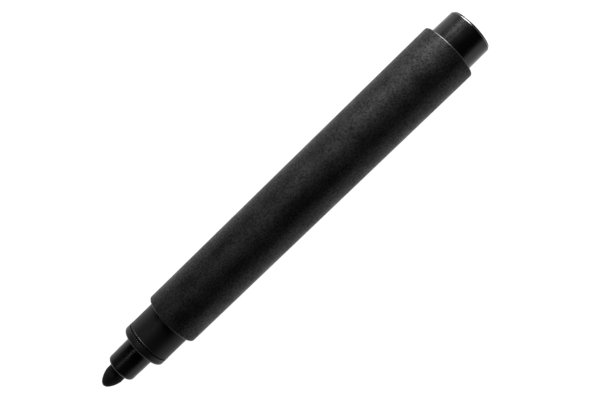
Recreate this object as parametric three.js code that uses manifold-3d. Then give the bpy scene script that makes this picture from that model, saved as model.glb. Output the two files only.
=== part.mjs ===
// A felt tip marker without its cap: barrel, front collar, nib holder, bullet nib, ink reservoir in its
// film wrap, and rear plug. Millimetres, +Z up. The marker lies along X on the plane z = 0, nib towards +X,
// and x = 0 is halfway along it.
//
// Every piece is turned about one axis. Its profile is a list of (radius, station) points, where a station
// is a distance along the axis from the barrel's rear face, positive towards the nib.
import * as THREE from "three";
import { mergeVertices } from "three/addons/utils/BufferGeometryUtils.js";
import Module from "manifold-3d";

const wasm = await Module();
wasm.setup();

// Driving dimensions
const sides = 40; // flats round every turned piece, with one flat underneath
const barrelLength = 97.85;
const barrelRearRadius = 8.27;
const barrelFrontRadius = 7.86;
const barrelRearRounding = 0.36;
const barrelFrontRounding = 0.56;
const collarProtrusion = 10.45; // from the barrel's front face to the front of the nib holder's flange
const collarRadius = 6.48;
const collarEdge = 0.2; // the rounding on either side of the joint between the collar and the nib holder
const flangeRounding = 0.78;
const beadHeight = 0.05; // the fine bead round the collar's front edge, which a cap clicks over
const beadLength = 0.4;
const nozzleLength = 8.3;
const nozzleRearRadius = 4.26;
const nozzleFrontRadius = 4.15;
const nozzleRounding = 0.9;
const partingStation = 4.6; // the ring round the nozzle where two halves of the mould met
const partingStep = 0.04;
const nibRadius = 2.56;
const nibProtrusion = 6.05;
const nibHeadLength = 3.85;
const nibHeadFullness = 1.25; // 1 is a paraboloid, 2 an ellipsoid
const plugProtrusion = 7.7;
const plugFrontRadius = 6.69;
const plugRearRadius = 6.59;
const plugRounding = 0.5;

// Fits
const pressGap = 0.05; // between the wall of a pressed piece and its seat
const seatGap = 0.1; // between a pressed piece's end and the step that stops it
const seamGap = 0.14; // the visible joint between the collar and the nib holder's flange
const nibGap = 0.04; // between the nib and the ribs or the fibre that grip it

// Depths of the pressed pieces inside their seats
const plugDepth = 9;
const collarDepth = 10;
const holderDepth = 8.5; // the nib holder's spigot, behind its flange
const nibTailDepth = 7.5; // the nib's tail, inside the ink reservoir

// Walls and inside features
const boreRearRadius = 6.4;
const boreFrontRadius = 6.18;
const plugWall = 1.15;
const plugEndWall = 1.4;
const collarBoreRadius = 5.1;
const flangeThickness = 2.17;
const holderBoreRadius = 2.94;
const ribCount = 6;
const ribWidth = 0.9;
const ribSetback = 1.2; // the ribs stop this far short of both ends of the nib holder's bore
const nibTailChamfer = 0.5;
const reservoirRadius = 5.85;
const reservoirChamfer = 0.3;
const wrapThickness = 0.15;
const wrapSetback = 1; // bare fibre at each end of the reservoir

// Stations worked out from those
const collarFront = barrelLength + collarProtrusion;
const flangeRear = collarFront - flangeThickness;
const collarSeam = flangeRear - seamGap;
const nozzleFront = collarFront + nozzleLength;
const nibTip = nozzleFront + nibProtrusion;
const collarRear = barrelLength - collarDepth;
const holderRear = flangeRear - holderDepth;
const reservoirFront = collarRear - seatGap;
const nibTail = reservoirFront - nibTailDepth;
const reservoirRear = plugDepth + seatGap;

const axisHeight = barrelRearRadius * Math.cos(Math.PI / sides);
const middle = (nibTip - plugProtrusion) / 2;

// A profile point.
function at(radius, station) {
  return new THREE.Vector2(radius, station);
}

// A quarter round of a profile about a centre, from one angle to another, both in quarter turns counted
// from the outward radius towards the nib.
function quarterRound(centre, rounding, from, to, steps = 3) {
  const points = [];
  for (let i = 0; i <= steps; i++) {
    const angle = ((from + ((to - from) * i) / steps) * Math.PI) / 2;
    const x = centre.x + rounding * Math.cos(angle);
    const y = centre.y + rounding * Math.sin(angle);
    points.push(at(x, y));
  }
  return points;
}

// An outer corner rounded where a wall meets a face on its nib side.
function frontCorner(radius, station, rounding) {
  return quarterRound(at(radius - rounding, station - rounding), rounding, 0, 1);
}

// An outer corner rounded where a face meets a wall on its nib side.
function rearCorner(radius, station, rounding) {
  return quarterRound(at(radius - rounding, station + rounding), rounding, -1, 0);
}

// Turns a profile that runs from rear to front on the outside. A tube's profile closes on itself.
function turned(profile, closed) {
  const points = closed ? [...profile, profile[0].clone()] : profile;
  return new THREE.LatheGeometry(points, sides, Math.PI / sides);
}

function solidFrom(geometry) {
  const bare = geometry.clone();
  bare.deleteAttribute("normal");
  bare.deleteAttribute("uv");
  const merged = mergeVertices(bare, 1e-4);
  return new wasm.Manifold(
    new wasm.Mesh({
      numProp: 3,
      vertProperties: new Float32Array(merged.attributes.position.array),
      triVerts: new Uint32Array(merged.index.array),
    }),
  );
}

function geometryFrom(solid) {
  const mesh = solid.getMesh();
  const geometry = new THREE.BufferGeometry();
  geometry.setAttribute("position", new THREE.BufferAttribute(mesh.vertProperties, 3));
  geometry.setIndex(new THREE.BufferAttribute(mesh.triVerts, 1));
  geometry.computeVertexNormals();
  return geometry;
}

// The barrel is a tube with a seat at each end: the plug and the collar stop on the seats' inner steps.
function barrelGeometry() {
  const plugSeat = plugFrontRadius + pressGap;
  const collarSeat = collarRadius + pressGap;
  return turned(
    [
      at(plugSeat, 0),
      ...rearCorner(barrelRearRadius, 0, barrelRearRounding),
      ...frontCorner(barrelFrontRadius, barrelLength, barrelFrontRounding),
      at(collarSeat, barrelLength),
      at(collarSeat, collarRear - seatGap),
      at(boreFrontRadius, collarRear - seatGap),
      at(boreRearRadius, plugDepth + seatGap),
      at(plugSeat, plugDepth + seatGap),
    ],
    true,
  );
}

// The collar is a sleeve: its rear half is pressed into the barrel, its front half a cap grips.
function frontCollarGeometry() {
  const beadRear = collarSeam - beadLength;
  return turned(
    [
      at(collarBoreRadius, collarRear),
      ...rearCorner(collarRadius, collarRear, collarEdge),
      at(collarRadius, beadRear - beadHeight),
      at(collarRadius + beadHeight, beadRear),
      ...frontCorner(collarRadius + beadHeight, collarSeam, collarEdge),
      at(collarBoreRadius, collarSeam),
    ],
    true,
  );
}

// The nib holder's flange closes the collar, flush with its bead. Its spigot is pressed into the collar, and
// its nozzle carries the nib on ribs, with air passing between them.
function nibHolderGeometry() {
  const spigotRadius = collarBoreRadius - pressGap;
  const spigotEdge = 0.12;
  const flangeRadius = collarRadius + beadHeight;
  const parting = collarFront + partingStation;
  const partingShare = partingStation / nozzleLength;
  const partingRadius = nozzleRearRadius + (nozzleFrontRadius - nozzleRearRadius) * partingShare;
  const body = solidFrom(
    turned(
      [
        at(holderBoreRadius, holderRear),
        at(spigotRadius - spigotEdge, holderRear),
        at(spigotRadius, holderRear + spigotEdge),
        at(spigotRadius, flangeRear),
        ...rearCorner(flangeRadius, flangeRear, collarEdge),
        ...frontCorner(flangeRadius, collarFront, flangeRounding),
        at(nozzleRearRadius, collarFront),
        at(partingRadius + partingStep / 2, parting),
        at(partingRadius - partingStep / 2, parting + partingStep),
        ...frontCorner(nozzleFrontRadius, nozzleFront, nozzleRounding),
        at(holderBoreRadius, nozzleFront),
      ],
      true,
    ),
  );
  const ribInner = nibRadius + nibGap;
  const ribOuter = holderBoreRadius + 0.4;
  const ribLength = nozzleFront - holderRear - 2 * ribSetback;
  let whole = body;
  for (let i = 0; i < ribCount; i++) {
    const rib = new THREE.BoxGeometry(ribOuter - ribInner, ribLength, ribWidth);
    rib.translate((ribInner + ribOuter) / 2, (holderRear + nozzleFront) / 2, 0);
    rib.rotateY((i * 2 * Math.PI) / ribCount);
    whole = whole.add(solidFrom(rib));
  }
  return geometryFrom(whole);
}

// The nib's head swells from the tip as a blunt bullet.
function nibGeometry() {
  const steps = 8;
  const head = [];
  for (let i = 0; i <= steps; i++) {
    const share = Math.sin((i / steps) * (Math.PI / 2)); // of the head's length, from its shoulder
    const radius = nibRadius * Math.sqrt(1 - Math.pow(share, nibHeadFullness));
    head.push(at(radius, nibTip - nibHeadLength * (1 - share)));
  }
  return turned([
    at(0, nibTail),
    at(nibRadius - nibTailChamfer, nibTail),
    at(nibRadius, nibTail + nibTailChamfer),
    ...head,
  ]);
}

// The fibre rod has a blind socket where the nib's tail presses into it.
function inkReservoirGeometry() {
  const socketRadius = nibRadius + nibGap;
  const socketDepth = nibTailDepth + nibGap;
  return turned([
    at(0, reservoirRear),
    at(reservoirRadius - reservoirChamfer, reservoirRear),
    at(reservoirRadius, reservoirRear + reservoirChamfer),
    at(reservoirRadius, reservoirFront - reservoirChamfer),
    at(reservoirRadius - reservoirChamfer, reservoirFront),
    at(socketRadius, reservoirFront),
    at(socketRadius, reservoirFront - socketDepth),
    at(0, reservoirFront - socketDepth),
  ]);
}

function reservoirWrapGeometry() {
  const inner = reservoirRadius + pressGap;
  const rear = reservoirRear + wrapSetback;
  const front = reservoirFront - wrapSetback;
  return turned(
    [
      at(inner, rear),
      at(inner + wrapThickness, rear),
      at(inner + wrapThickness, front),
      at(inner, front),
    ],
    true,
  );
}

// The plug is a cup, open towards the reservoir.
function rearPlugGeometry() {
  const edge = 0.3;
  const inside = plugFrontRadius - plugWall;
  return turned([
    at(0, -plugProtrusion),
    ...rearCorner(plugRearRadius, -plugProtrusion, plugRounding),
    at(plugFrontRadius, 0),
    at(plugFrontRadius, plugDepth - edge),
    at(plugFrontRadius - edge, plugDepth),
    at(inside, plugDepth),
    at(inside - plugWall / 4, plugEndWall - plugProtrusion),
    at(0, plugEndWall - plugProtrusion),
  ]);
}

function piece(name, geometry, color, roughness, metalness = 0) {
  const material = new THREE.MeshStandardMaterial({ color, roughness, metalness });
  const mesh = new THREE.Mesh(geometry, material);
  mesh.name = name;
  return mesh;
}

const marker = new THREE.Group();
marker.name = "felt_tip_marker";
marker.rotation.z = -Math.PI / 2; // the profiles' axis turned from +Y to +X
marker.position.set(-middle, 0, axisHeight);
marker.add(
  piece("barrel", barrelGeometry(), 0x1c1c1d, 0.6),
  piece("front_collar", frontCollarGeometry(), 0x151516, 0.4),
  piece("nib_holder", nibHolderGeometry(), 0x101011, 0.25),
  piece("nib", nibGeometry(), 0x0c0c0d, 0.95),
  piece("ink_reservoir", inkReservoirGeometry(), 0x17171a, 0.95),
  piece("reservoir_wrap", reservoirWrapGeometry(), 0xd8dade, 0.3),
  piece("rear_plug", rearPlugGeometry(), 0x101011, 0.2),
);

const root = new THREE.Group();
root.add(marker);

export default root;
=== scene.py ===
# A black felt tip marker lying on a pale table, nib towards +X, seen from above.
# Every piece is turned about the marker's own axis, which runs along X above the table.
import math

import bmesh
import bpy
from mathutils import Matrix, Vector


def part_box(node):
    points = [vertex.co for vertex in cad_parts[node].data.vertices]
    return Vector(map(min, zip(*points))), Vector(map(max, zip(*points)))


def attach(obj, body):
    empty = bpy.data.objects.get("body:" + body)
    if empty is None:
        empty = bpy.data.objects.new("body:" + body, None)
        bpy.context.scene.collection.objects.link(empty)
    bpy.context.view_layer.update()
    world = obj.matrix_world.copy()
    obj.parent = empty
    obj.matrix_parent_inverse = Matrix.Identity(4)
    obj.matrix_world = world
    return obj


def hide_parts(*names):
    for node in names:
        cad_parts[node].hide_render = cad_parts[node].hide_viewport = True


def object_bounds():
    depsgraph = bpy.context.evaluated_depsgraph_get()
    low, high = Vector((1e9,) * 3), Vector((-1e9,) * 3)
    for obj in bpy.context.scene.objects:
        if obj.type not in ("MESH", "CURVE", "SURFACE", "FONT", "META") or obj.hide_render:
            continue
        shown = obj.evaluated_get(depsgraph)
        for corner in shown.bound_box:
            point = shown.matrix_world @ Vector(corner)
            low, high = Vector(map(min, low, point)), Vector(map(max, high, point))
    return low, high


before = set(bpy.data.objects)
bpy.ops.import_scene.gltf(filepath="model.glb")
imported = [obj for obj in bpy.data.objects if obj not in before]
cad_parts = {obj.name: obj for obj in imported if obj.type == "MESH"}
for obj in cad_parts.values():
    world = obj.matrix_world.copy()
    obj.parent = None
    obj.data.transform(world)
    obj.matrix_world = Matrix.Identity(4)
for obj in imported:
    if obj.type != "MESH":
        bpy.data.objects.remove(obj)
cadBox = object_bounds()
print("frame loaded:", len(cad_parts), "nodes")

mm = 0.001
turned = {
    "steps": 144,  # faces round every piece
    "roundingSteps": 8,  # faces across every rounded edge
    "mergeDistance": 1e-7,
    "sharpFrom": math.radians(40),  # an edge that turns more than this stays sharp
}

barrelLow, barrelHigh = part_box("barrel")
axisHeight = (barrelLow.z + barrelHigh.z) / 2
tableTop = cadBox[0].z


def outerRadius(node):
    low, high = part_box(node)
    return (high.y - low.y) / 2


def linear(hexColour):
    # sRGB hex to the linear colour that shaders take
    channels = [int(hexColour[i : i + 2], 16) / 255 for i in (1, 3, 5)]
    return [c / 12.92 if c <= 0.04045 else ((c + 0.055) / 1.055) ** 2.4 for c in channels] + [1]


def addNode(tree, kind, settings=None, inputs=None):
    node = tree.nodes.new(kind)
    for key, value in (settings or {}).items():
        setattr(node, key, value)
    for key, value in (inputs or {}).items():
        if isinstance(value, bpy.types.NodeSocket):
            tree.links.new(value, node.inputs[key])
        else:
            node.inputs[key].default_value = value
    return node


def newMaterial(name):
    material = bpy.data.materials.new(name)
    material.use_nodes = True
    tree = material.node_tree
    tree.nodes.clear()
    place = addNode(tree, "ShaderNodeTexCoord").outputs["Object"]
    return material, tree, place


def stepAt(tree, place, station, width):
    # 0 behind a station along X and 1 ahead of it, with a soft change between
    parts = addNode(tree, "ShaderNodeSeparateXYZ", inputs={"Vector": place})
    return addNode(tree, "ShaderNodeMapRange", inputs={
        "Value": parts.outputs["X"], "From Min": station - width, "From Max": station + width,
    }).outputs["Result"]


def finishMaterial(tree, inputs):
    shader = addNode(tree, "ShaderNodeBsdfPrincipled", inputs=inputs)
    addNode(tree, "ShaderNodeOutputMaterial", inputs={"Surface": shader.outputs["BSDF"]})


def turnedShape(corners, closed=False, rings=0):
    # corners are (station along X, radius, rounding), from rear to front on the outside,
    # and rings divide the longest straight wall
    shape = bmesh.new()
    points = [shape.verts.new((x, 0, radius)) for x, radius, rounding in corners]
    edges = [shape.edges.new(pair) for pair in zip(points, points[1:])]
    if closed:
        edges.append(shape.edges.new((points[-1], points[0])))
    for point, (x, radius, rounding) in zip(points, corners):
        if rounding:
            bmesh.ops.bevel(
                shape, geom=[point], offset=rounding, offset_type="OFFSET", affect="VERTICES",
                segments=turned["roundingSteps"], profile=0.5, material=-1,
            )
    if rings:
        longest = max(shape.edges, key=lambda edge: edge.calc_length())
        bmesh.ops.subdivide_edges(shape, edges=[longest], cuts=rings)
    bmesh.ops.spin(
        shape, geom=shape.verts[:] + shape.edges[:], cent=(0, 0, 0), axis=(1, 0, 0),
        angle=2 * math.pi, steps=turned["steps"], use_merge=True,
    )
    bmesh.ops.remove_doubles(shape, verts=shape.verts, dist=turned["mergeDistance"])
    return shape


def finishPiece(name, shape, material, node, body):
    bmesh.ops.recalc_face_normals(shape, faces=shape.faces)
    bmesh.ops.translate(shape, verts=shape.verts, vec=(0, 0, axisHeight))
    mesh = bpy.data.meshes.new(name)
    for face in shape.faces:
        face.smooth = True
    shape.to_mesh(mesh)
    shape.free()
    mesh.materials.append(material)
    mesh.set_sharp_from_angle(angle=turned["sharpFrom"])
    piece = bpy.data.objects.new(name, mesh)
    bpy.context.scene.collection.objects.link(piece)
    crisp = piece.modifiers.new("flatFacesStayFlat", "WEIGHTED_NORMAL")
    crisp.keep_sharp = True
    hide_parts(node)
    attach(piece, body)
    print(name, len(mesh.polygons), "faces")


# Camera: almost straight above the marker, turned so that the nib points down to the left.
cameraView = {
    "foot": 41.4 * mm,  # along the marker from the barrel's rear face
    "height": 213.7 * mm,  # above the marker's axis
    "aside": 0.88 * mm,  # to the marker's left
    "lean": math.radians(3.04),  # towards the nib
    "turn": math.radians(135.99),  # of the marker in the picture, clockwise from the right
    "lens": 50.5,
    "sensor": 36,
    "nearest": 0.01,
}


def placeCamera():
    lean, turn = cameraView["lean"], cameraView["turn"]
    along = Vector((math.cos(lean), 0, math.sin(lean)))
    across = Vector((0, 1, 0))
    right = along * math.cos(turn) + across * math.sin(turn)
    up = across * math.cos(turn) - along * math.sin(turn)
    back = right.cross(up)
    data = bpy.data.cameras.new("mainCamera")
    data.lens = cameraView["lens"]
    data.sensor_width = cameraView["sensor"]
    data.clip_start = cameraView["nearest"]
    camera = bpy.data.objects.new("mainCamera", data)
    aimed = Matrix((right, up, back)).transposed().to_4x4()
    place = Vector((
        barrelLow.x + cameraView["foot"],
        cameraView["aside"],
        axisHeight + cameraView["height"],
    ))
    camera.matrix_world = Matrix.Translation(place) @ aimed
    bpy.context.scene.collection.objects.link(camera)
    bpy.context.scene.camera = camera


placeCamera()
print("camera placed")


# Barrel: polypropylene moulded against a spark-eroded steel wall, so it is dull,
# with a fine even grain, and hands have left it smoother in some places than in others.
barrel = {
    "draft": 0.41 * mm,  # how much smaller the radius is at the front
    "rearRounding": 0.36 * mm,
    "frontRounding": 0.56 * mm,
    "seatEdge": 0.08 * mm,
    "fit": 0.05 * mm,  # between the barrel and what is pressed into it
    "plugSeat": 9.1 * mm,  # depths of the two seats
    "collarSeat": 10.1 * mm,
    "boreRear": 6.38 * mm,
    "boreFront": 6.16 * mm,
    "rings": 30,
    "colour": "#030303",
    "grain": 0.5 * mm,  # drawn coarser than the real 0.15 mm, which is too fine to show
    "grainDepth": 0.02 * mm,
    "grainSpecular": (0.07, 0.3),
    "smudge": 6 * mm,
    "smudgeRoughness": (0.38, 0.52),
    "rimWear": 0.5 * mm,  # how far the polish of handling reaches from each end
    "rimRoughness": 0.34,
    "rimSpecular": 0.25,
}


def grainedPolypropylene():
    material, tree, place = newMaterial("spark-eroded black polypropylene")
    grain = addNode(tree, "ShaderNodeTexNoise", inputs={
        "Vector": place, "Scale": 1 / barrel["grain"], "Detail": 3, "Roughness": 0.7,
    })
    smudge = addNode(tree, "ShaderNodeTexNoise", inputs={
        "Vector": place, "Scale": 1 / barrel["smudge"], "Detail": 4, "Roughness": 0.55,
    })
    # the noise seldom leaves the middle third of its range, so that third is spread out
    dullness = addNode(tree, "ShaderNodeMapRange", inputs={
        "Value": smudge.outputs["Fac"], "From Min": 0.35, "From Max": 0.65,
        "To Min": barrel["smudgeRoughness"][0], "To Max": barrel["smudgeRoughness"][1],
    })
    sheen = addNode(tree, "ShaderNodeMapRange", inputs={
        "Value": grain.outputs["Fac"], "From Min": 0.36, "From Max": 0.64,
        "To Min": barrel["grainSpecular"][0], "To Max": barrel["grainSpecular"][1],
    })
    # the rims are shinier than the wall, because they rub on tables and caps
    parts = addNode(tree, "ShaderNodeSeparateXYZ", inputs={"Vector": place})
    middle = (barrelLow.x + barrelHigh.x) / 2
    halfLength = (barrelHigh.x - barrelLow.x) / 2
    fromMiddle = addNode(tree, "ShaderNodeMath", {"operation": "SUBTRACT"}, {
        0: parts.outputs["X"], 1: middle,
    })
    distance = addNode(tree, "ShaderNodeMath", {"operation": "ABSOLUTE"}, {
        0: fromMiddle.outputs["Value"],
    })
    worn = addNode(tree, "ShaderNodeMapRange", inputs={
        "Value": distance.outputs["Value"], "From Min": halfLength - barrel["rimWear"],
        "From Max": halfLength - barrel["rimWear"] / 2,
    })
    wornRoughness = addNode(tree, "ShaderNodeMix", {"data_type": "FLOAT"}, {
        "Factor": worn.outputs["Result"], "A": dullness.outputs["Result"],
        "B": barrel["rimRoughness"],
    })
    wornSheen = addNode(tree, "ShaderNodeMix", {"data_type": "FLOAT"}, {
        "Factor": worn.outputs["Result"], "A": sheen.outputs["Result"],
        "B": barrel["rimSpecular"],
    })
    bump = addNode(tree, "ShaderNodeBump", inputs={
        "Height": grain.outputs["Fac"], "Strength": 1.0, "Distance": barrel["grainDepth"],
    })
    finishMaterial(tree, {
        "Base Color": linear(barrel["colour"]),
        "Roughness": wornRoughness.outputs["Result"],
        "Specular IOR Level": wornSheen.outputs["Result"],
        "Normal": bump.outputs["Normal"],
    })
    return material


def makeBarrel():
    plugSeatRadius = outerRadius("rear_plug") + barrel["fit"]
    collarSeatRadius = outerRadius("front_collar")  # its bead is as high as the fit is wide
    rear, front = barrelLow.x, barrelHigh.x
    radius = outerRadius("barrel")
    edge = barrel["seatEdge"]
    shape = turnedShape([
        (rear, plugSeatRadius, edge),
        (rear, radius, barrel["rearRounding"]),
        (front, radius - barrel["draft"], barrel["frontRounding"]),
        (front, collarSeatRadius, edge),
        (front - barrel["collarSeat"], collarSeatRadius, 0),
        (front - barrel["collarSeat"], barrel["boreFront"], 0),
        (rear + barrel["plugSeat"], barrel["boreRear"], 0),
        (rear + barrel["plugSeat"], plugSeatRadius, 0),
    ], closed=True, rings=barrel["rings"])
    finishPiece(
        "barrelTube", shape, grainedPolypropylene(), "barrel", "barrel"
    )


makeBarrel()


# Collar: the same plastic from a smoother steel wall, so it is satin and almost plain.
collar = {
    "bore": 5.08 * mm,
    "rounding": 0.2 * mm,
    "bead": 0.05 * mm,  # the fine ring that the cap clicks over
    "beadLength": 0.4 * mm,
    "rings": 8,
    "colour": "#030303",
    "grain": 0.5 * mm,  # as coarse as the barrel's, for the same reason
    "grainDepth": 0.02 * mm,
    "grainStrength": 0.1,  # the grain is nearly polished away
    "roughness": 0.45,
    "specular": 0.17,
}


def satinPolypropylene():
    material, tree, place = newMaterial("satin black polypropylene")
    grain = addNode(tree, "ShaderNodeTexNoise", inputs={
        "Vector": place, "Scale": 1 / collar["grain"], "Detail": 2,
    })
    bump = addNode(tree, "ShaderNodeBump", inputs={
        "Height": grain.outputs["Fac"], "Strength": collar["grainStrength"],
        "Distance": collar["grainDepth"],
    })
    finishMaterial(tree, {
        "Base Color": linear(collar["colour"]),
        "Roughness": collar["roughness"],
        "Specular IOR Level": collar["specular"],
        "Normal": bump.outputs["Normal"],
    })
    return material


def makeCollar():
    low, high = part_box("front_collar")
    crest = outerRadius("front_collar")
    bead = collar["bead"]
    beadRear = high.x - collar["beadLength"]
    shape = turnedShape([
        (low.x, collar["bore"], 0),
        (low.x, crest - bead, collar["rounding"]),
        (beadRear - bead, crest - bead, 0),
        (beadRear, crest, 0),
        (high.x, crest, collar["rounding"]),
        (high.x, collar["bore"], 0),
    ], closed=True, rings=collar["rings"])
    finishPiece(
        "collarSleeve", shape, satinPolypropylene(), "front_collar", "barrel"
    )


makeCollar()


# Nib holder: a flange that closes the collar, a spigot inside it, and a nozzle with ribs.
# The nozzle's part of the tool was polished, so clear reflections run down it, and the
# flange is only satin.
nibHolder = {
    "nozzleLength": 8.3 * mm,
    "nozzleDraft": 0.11 * mm,
    "nozzleRadius": 4.14 * mm,  # at its front, where the draft ends
    "nozzleRounding": 0.9 * mm,
    "parting": 4.6 * mm,  # from the flange to the ring where two halves of the mould met
    "partingStep": 0.04 * mm,
    "nozzleRoot": 0.15 * mm,
    "flangeThickness": 2.07 * mm,  # leaves a dark gap of 0.24 mm behind it
    "flangeRounding": 0.8 * mm,
    "flangeEdge": 0.02 * mm,
    "spigotEdge": 0.12 * mm,
    "spigot": 5.03 * mm,
    "bore": 2.93 * mm,
    "mouthEdge": 0.15 * mm,
    "ribs": 6,
    "ribWidth": 0.9 * mm,
    "ribGap": 0.04 * mm,  # between a rib and the nib
    "ribSetback": 1.2 * mm,
    "ribSlope": 0.3 * mm,
    "colour": "#020202",
    "streak": 1.5 * mm,
    "nozzlePolish": (0.25, 0.31),
    "rubbed": 0.03,  # how much rougher the nozzle is ahead of the parting ring
    "flangeRoughness": 0.42,
    "finishChange": 0.1 * mm,
    "specular": 0.22,
}


def polishedPolypropylene():
    material, tree, place = newMaterial("polished black polypropylene")
    streaks = addNode(tree, "ShaderNodeTexNoise", inputs={
        "Vector": place, "Scale": 1 / nibHolder["streak"], "Detail": 3,
    })
    polish = addNode(tree, "ShaderNodeMapRange", inputs={
        "Value": streaks.outputs["Fac"],
        "To Min": nibHolder["nozzlePolish"][0], "To Max": nibHolder["nozzlePolish"][1],
    })
    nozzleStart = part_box("nib_holder")[1].x - nibHolder["nozzleLength"]
    partingPlace = nozzleStart + nibHolder["parting"]
    onNozzle = stepAt(tree, place, nozzleStart, nibHolder["finishChange"])
    aheadOfRing = stepAt(tree, place, partingPlace, nibHolder["finishChange"])
    nozzleRoughness = addNode(tree, "ShaderNodeMath", {"operation": "MULTIPLY_ADD"}, {
        0: aheadOfRing, 1: nibHolder["rubbed"], 2: polish.outputs["Result"],
    })
    dullness = addNode(tree, "ShaderNodeMix", {"data_type": "FLOAT"}, {
        "Factor": onNozzle, "A": nibHolder["flangeRoughness"],
        "B": nozzleRoughness.outputs["Value"],
    })
    finishMaterial(tree, {
        "Base Color": linear(nibHolder["colour"]),
        "Roughness": dullness.outputs["Result"],
        "Specular IOR Level": nibHolder["specular"],
    })
    return material


def pushInRibs(shape, rear, front, inner):
    # the bore's wall between two stations comes in to the ribs' crests
    pitch = 2 * math.pi / nibHolder["ribs"]
    for point in shape.verts:
        radius = math.hypot(point.co.y, point.co.z)
        onBore = radius < nibHolder["bore"] * 1.001
        if not onBore or not rear < point.co.x < front:
            continue
        angle = math.atan2(point.co.y, point.co.z) % pitch
        fromRib = min(angle, pitch - angle) * inner
        if fromRib < nibHolder["ribWidth"] / 2:
            point.co.y *= inner / radius
            point.co.z *= inner / radius


def makeNibHolder():
    low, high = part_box("nib_holder")
    radius = outerRadius("nib_holder")
    length, draft = nibHolder["nozzleLength"], nibHolder["nozzleDraft"]
    flangeFront = high.x - length
    flangeRear = flangeFront - nibHolder["flangeThickness"]
    ribRear = low.x + nibHolder["ribSetback"]
    ribFront = high.x - nibHolder["ribSetback"]
    slope = nibHolder["ribSlope"]
    bore = nibHolder["bore"]
    parting = flangeFront + nibHolder["parting"]
    partingRadius = nibHolder["nozzleRadius"] + draft * (1 - nibHolder["parting"] / length)
    halfStep = nibHolder["partingStep"] / 2
    shape = turnedShape([
        (low.x, bore, 0),
        (low.x, nibHolder["spigot"], nibHolder["spigotEdge"]),
        (flangeRear, nibHolder["spigot"], 0),
        (flangeRear, radius, nibHolder["flangeEdge"]),
        (flangeFront, radius, nibHolder["flangeRounding"]),
        (flangeFront, nibHolder["nozzleRadius"] + draft, nibHolder["nozzleRoot"]),
        (parting - halfStep, partingRadius + halfStep, 0),
        (parting + halfStep, partingRadius - halfStep, 0),
        (high.x, nibHolder["nozzleRadius"], nibHolder["nozzleRounding"]),
        (high.x, bore, nibHolder["mouthEdge"]),
        (ribFront, bore, 0),
        (ribFront - slope, bore, 0),
        (ribRear + slope, bore, 0),
        (ribRear, bore, 0),
    ], closed=True)
    crest = outerRadius("nib") + nibHolder["ribGap"]
    pushInRibs(shape, ribRear + slope / 2, ribFront - slope / 2, crest)
    finishPiece(
        "nibHolderMoulding", shape, polishedPolypropylene(),
        "nib_holder", "barrel",
    )


makeNibHolder()


# Nib: a rod of bonded polyester fibre ground to a blunt bullet and soaked in black ink,
# so it takes in nearly all the light and shows only a faint speckle of fibres.
nib = {
    "headLength": 3.85 * mm,
    "headFullness": 1.25,  # 1 is a paraboloid, 2 an ellipsoid
    "headSteps": 24,
    "tailRounding": 0.5 * mm,
    "rings": 20,
    "fibre": 0.3 * mm,  # ten times the real thickness, which is too fine to show
    "fibreStretch": 0.25,  # along the nib
    "fibreDepth": 0.05 * mm,
    "darkFibre": "#000000",
    "lightFibre": "#0a0a0a",
    "roughness": 0.7,
    "specular": 0.085,
}


def bondedFibre():
    material, tree, place = newMaterial("ink-soaked bonded fibre")
    stretched = addNode(tree, "ShaderNodeMapping", inputs={
        "Vector": place, "Scale": (nib["fibreStretch"], 1, 1),
    })
    fibres = addNode(tree, "ShaderNodeTexNoise", inputs={
        "Vector": stretched.outputs["Vector"], "Scale": 1 / nib["fibre"], "Detail": 3,
        "Roughness": 0.7,
    })
    tint = addNode(tree, "ShaderNodeMix", {"data_type": "RGBA"}, {
        "Factor": fibres.outputs["Fac"], "A": linear(nib["darkFibre"]),
        "B": linear(nib["lightFibre"]),
    })
    bump = addNode(tree, "ShaderNodeBump", inputs={
        "Height": fibres.outputs["Fac"], "Strength": 0.6, "Distance": nib["fibreDepth"],
    })
    finishMaterial(tree, {
        "Base Color": tint.outputs["Result"],
        "Roughness": nib["roughness"],
        "Specular IOR Level": nib["specular"],
        "Normal": bump.outputs["Normal"],
    })
    return material


def makeNib():
    low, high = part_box("nib")
    radius = outerRadius("nib")
    head = []
    for i in range(nib["headSteps"] + 1):
        share = math.sin(i / nib["headSteps"] * math.pi / 2)  # of the head, from its shoulder
        swell = math.sqrt(max(0, 1 - share ** nib["headFullness"]))
        head.append((high.x - nib["headLength"] * (1 - share), radius * swell, 0))
    shape = turnedShape([
        (low.x, 0, 0),
        (low.x, radius, nib["tailRounding"]),
        *head,
    ], rings=nib["rings"])
    finishPiece("bulletNib", shape, bondedFibre(), "nib", "nib")


makeNib()


# Ink reservoir: crimped polyester fibres side by side, cut square and full of ink,
# so it is dull, near black and streaked along its length.
reservoir = {
    "rounding": 0.3 * mm,
    "socketFit": 0.04 * mm,  # round the nib's tail
    "socketDepth": 7.54 * mm,
    "rings": 20,
    "fibre": 0.25 * mm,  # ten times the real thickness, which is too fine to show
    "fibreStretch": 0.05,  # along the reservoir
    "fibreDepth": 0.1 * mm,
    "darkFibre": "#060608",
    "lightFibre": "#232329",
    "roughness": 0.8,
}


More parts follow.
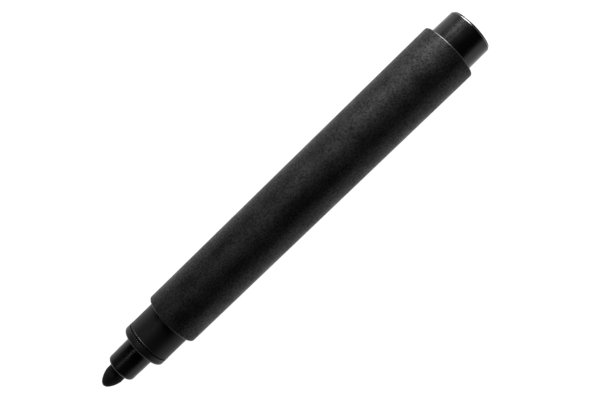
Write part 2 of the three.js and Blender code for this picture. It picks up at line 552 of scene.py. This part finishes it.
def fibreBundle():
    material, tree, place = newMaterial("inked fibre bundle")
    stretched = addNode(tree, "ShaderNodeMapping", inputs={
        "Vector": place, "Scale": (reservoir["fibreStretch"], 1, 1),
    })
    fibres = addNode(tree, "ShaderNodeTexNoise", inputs={
        "Vector": stretched.outputs["Vector"], "Scale": 1 / reservoir["fibre"], "Detail": 4,
    })
    tint = addNode(tree, "ShaderNodeMix", {"data_type": "RGBA"}, {
        "Factor": fibres.outputs["Fac"], "A": linear(reservoir["darkFibre"]),
        "B": linear(reservoir["lightFibre"]),
    })
    bump = addNode(tree, "ShaderNodeBump", inputs={
        "Height": fibres.outputs["Fac"], "Strength": 0.8, "Distance": reservoir["fibreDepth"],
    })
    finishMaterial(tree, {
        "Base Color": tint.outputs["Result"],
        "Roughness": reservoir["roughness"],
        "Normal": bump.outputs["Normal"],
    })
    return material


def makeReservoir():
    low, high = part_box("ink_reservoir")
    radius = outerRadius("ink_reservoir")
    socket = outerRadius("nib") + reservoir["socketFit"]
    shape = turnedShape([
        (low.x, 0, 0),
        (low.x, radius, reservoir["rounding"]),
        (high.x, radius, reservoir["rounding"]),
        (high.x, socket, 0),
        (high.x - reservoir["socketDepth"], socket, 0),
        (high.x - reservoir["socketDepth"], 0, 0),
    ], rings=reservoir["rings"])
    finishPiece(
        "reservoirFibre", shape, fibreBundle(), "ink_reservoir", "barrel"
    )


makeReservoir()


# Wrap: clear polypropylene film round the fibres, so it is smooth, shiny and see-through.
wrap = {
    "thickness": 0.15 * mm,
    "rings": 20,
    "colour": "#c8ccd2",
    "roughness": 0.12,
    "ior": 1.49,
    "alpha": 0.3,
}


def clearFilm():
    material, tree, _ = newMaterial("clear polypropylene film")
    finishMaterial(tree, {
        "Base Color": linear(wrap["colour"]),
        "Roughness": wrap["roughness"],
        "IOR": wrap["ior"],
        "Alpha": wrap["alpha"],
    })
    return material


def makeWrap():
    low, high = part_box("reservoir_wrap")
    radius = outerRadius("reservoir_wrap")
    inner = radius - wrap["thickness"]
    shape = turnedShape([
        (low.x, inner, 0),
        (low.x, radius, 0),
        (high.x, radius, 0),
        (high.x, inner, 0),
    ], closed=True, rings=wrap["rings"])
    finishPiece("reservoirFilm", shape, clearFilm(), "reservoir_wrap", "barrel")


makeWrap()


# Rear plug: a cup moulded in a polished tool, so it is glossy. The cap has scuffed its wall,
# and the edge of its end has kept the polish.
plug = {
    "draft": 0.1 * mm,  # how much smaller the radius is at its rear
    "bossLength": 0.32 * mm,  # the flat end stands out from the rounded edge round it
    "bossStep": 0.36 * mm,
    "bossEdge": 0.08 * mm,
    "rounding": 0.34 * mm,
    "spigotRounding": 0.3 * mm,
    "wall": 1.15 * mm,
    "endWall": 1.4 * mm,
    "inDraft": 0.3 * mm,
    "colour": "#020202",
    "scuff": 2.5 * mm,
    "wallRoughness": (0.18, 0.3),
    "wallSpecular": 0.31,
    "edgeRoughness": 0.1,
    "edgeSpecular": 0.65,
    "finishChange": 0.1 * mm,
}


def glossyPolypropylene():
    material, tree, place = newMaterial("glossy black polypropylene")
    scuffs = addNode(tree, "ShaderNodeTexNoise", inputs={
        "Vector": place, "Scale": 1 / plug["scuff"], "Detail": 4, "Roughness": 0.6,
    })
    dullness = addNode(tree, "ShaderNodeMapRange", inputs={
        "Value": scuffs.outputs["Fac"],
        "To Min": plug["wallRoughness"][0], "To Max": plug["wallRoughness"][1],
    })
    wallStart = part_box("rear_plug")[0].x + plug["bossLength"] + plug["rounding"]
    onWall = stepAt(tree, place, wallStart, plug["finishChange"])
    roughness = addNode(tree, "ShaderNodeMix", {"data_type": "FLOAT"}, {
        "Factor": onWall, "A": plug["edgeRoughness"], "B": dullness.outputs["Result"],
    })
    sheen = addNode(tree, "ShaderNodeMapRange", inputs={
        "Value": onWall, "To Min": plug["edgeSpecular"], "To Max": plug["wallSpecular"],
    })
    finishMaterial(tree, {
        "Base Color": linear(plug["colour"]),
        "Roughness": roughness.outputs["Result"],
        "Specular IOR Level": sheen.outputs["Result"],
    })
    return material


def makePlug():
    low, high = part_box("rear_plug")
    radius = outerRadius("rear_plug")
    rearRadius = radius - plug["draft"]
    inside = radius - plug["wall"]
    shape = turnedShape([
        (low.x, 0, 0),
        (low.x, rearRadius - plug["bossStep"], plug["bossEdge"]),
        (low.x + plug["bossLength"], rearRadius - plug["bossStep"], 0),
        (low.x + plug["bossLength"], rearRadius, plug["rounding"]),
        (barrelLow.x, radius, 0),
        (high.x, radius, plug["spigotRounding"]),
        (high.x, inside, 0),
        (low.x + plug["endWall"], inside - plug["inDraft"], 0),
        (low.x + plug["endWall"], 0, 0),
    ])
    finishPiece(
        "rearPlugCup", shape, glossyPolypropylene(), "rear_plug", "rear_plug"
    )


makePlug()


# Table, lights and the pale room round them.
studio = {
    "tableRadius": 3.0,
    "tableSteps": 96,
    "tableColours": ("#343434", "#383838"),
    "tableMottle": 40 * mm,
    "tableGlow": 1.0,  # lit from inside, like a light table
    "windowPlace": (-0.55, -0.41, 0.245),
    "windowSize": (0.58, 0.48),
    "windowPower": 33,
    "stripPlace": (0.14, -0.6, 1.2),
    "stripSize": (1.1, 0.06),
    "stripPower": 1.5,
    "lampPlace": (-0.39, -0.14, 0.56),
    "lampSize": (0.09, 0.09),
    "lampPower": 0.25,
    "horizon": 1.2,
    "ceiling": 0.0,
    "ceilingStart": 0.37,  # sine of the elevation where the room is dark
    "leftWallRise": 0.14,  # how much higher the wall on the marker's left stays pale
}


def matteTable():
    material, tree, place = newMaterial("pale matte table")
    mottle = addNode(tree, "ShaderNodeTexNoise", inputs={
        "Vector": place, "Scale": 1 / studio["tableMottle"],
    })
    darker, lighter = studio["tableColours"]
    tint = addNode(tree, "ShaderNodeMix", {"data_type": "RGBA"}, {
        "Factor": mottle.outputs["Fac"], "A": linear(darker), "B": linear(lighter),
    })
    finishMaterial(tree, {
        "Base Color": tint.outputs["Result"], "Roughness": 0.9, "Specular IOR Level": 0.1,
        "Emission Color": linear("#ffffff"), "Emission Strength": studio["tableGlow"],
    })
    return material


def makeTable():
    shape = bmesh.new()
    bmesh.ops.create_circle(
        shape, cap_ends=True, segments=studio["tableSteps"], radius=studio["tableRadius"]
    )
    bmesh.ops.translate(shape, verts=shape.verts, vec=(0, 0, tableTop))
    mesh = bpy.data.meshes.new("table")
    shape.to_mesh(mesh)
    shape.free()
    mesh.materials.append(matteTable())
    table = bpy.data.objects.new("table", mesh)
    bpy.context.scene.collection.objects.link(table)


def softLight(name, place, size, power):
    data = bpy.data.lights.new(name, "AREA")
    data.shape = "RECTANGLE"
    data.size, data.size_y = size
    data.energy = power
    light = bpy.data.objects.new(name, data)
    place = Vector(place)
    aim = (Vector((0, 0, axisHeight)) - place).to_track_quat("-Z", "Y")
    light.matrix_world = Matrix.Translation(place) @ aim.to_matrix().to_4x4()
    bpy.context.scene.collection.objects.link(light)


def paleRoom():
    # white walls round the table and a dark ceiling
    world = bpy.data.worlds.new("paleRoom")
    world.use_nodes = True
    tree = world.node_tree
    tree.nodes.clear()
    direction = addNode(tree, "ShaderNodeTexCoord").outputs["Generated"]
    height = addNode(tree, "ShaderNodeVectorMath", {"operation": "DOT_PRODUCT"}, {
        0: direction, 1: (0, -studio["leftWallRise"], 1),
    })
    level = addNode(tree, "ShaderNodeMapRange", {"interpolation_type": "SMOOTHSTEP"}, {
        "Value": height.outputs["Value"], "From Min": 0, "From Max": studio["ceilingStart"],
        "To Min": studio["horizon"], "To Max": studio["ceiling"],
    })
    sky = addNode(tree, "ShaderNodeBackground", inputs={
        "Color": linear("#ffffff"), "Strength": level.outputs["Result"],
    })
    addNode(tree, "ShaderNodeOutputWorld", inputs={"Surface": sky.outputs["Background"]})
    bpy.context.scene.world = world


makeTable()
softLight("rearLeftWindow", studio["windowPlace"], studio["windowSize"], studio["windowPower"])
softLight("overheadStrip", studio["stripPlace"], studio["stripSize"], studio["stripPower"])
softLight("rearLamp", studio["lampPlace"], studio["lampSize"], studio["lampPower"])
paleRoom()
bpy.context.scene.view_settings.view_transform = "Standard"
print("table and lights made")
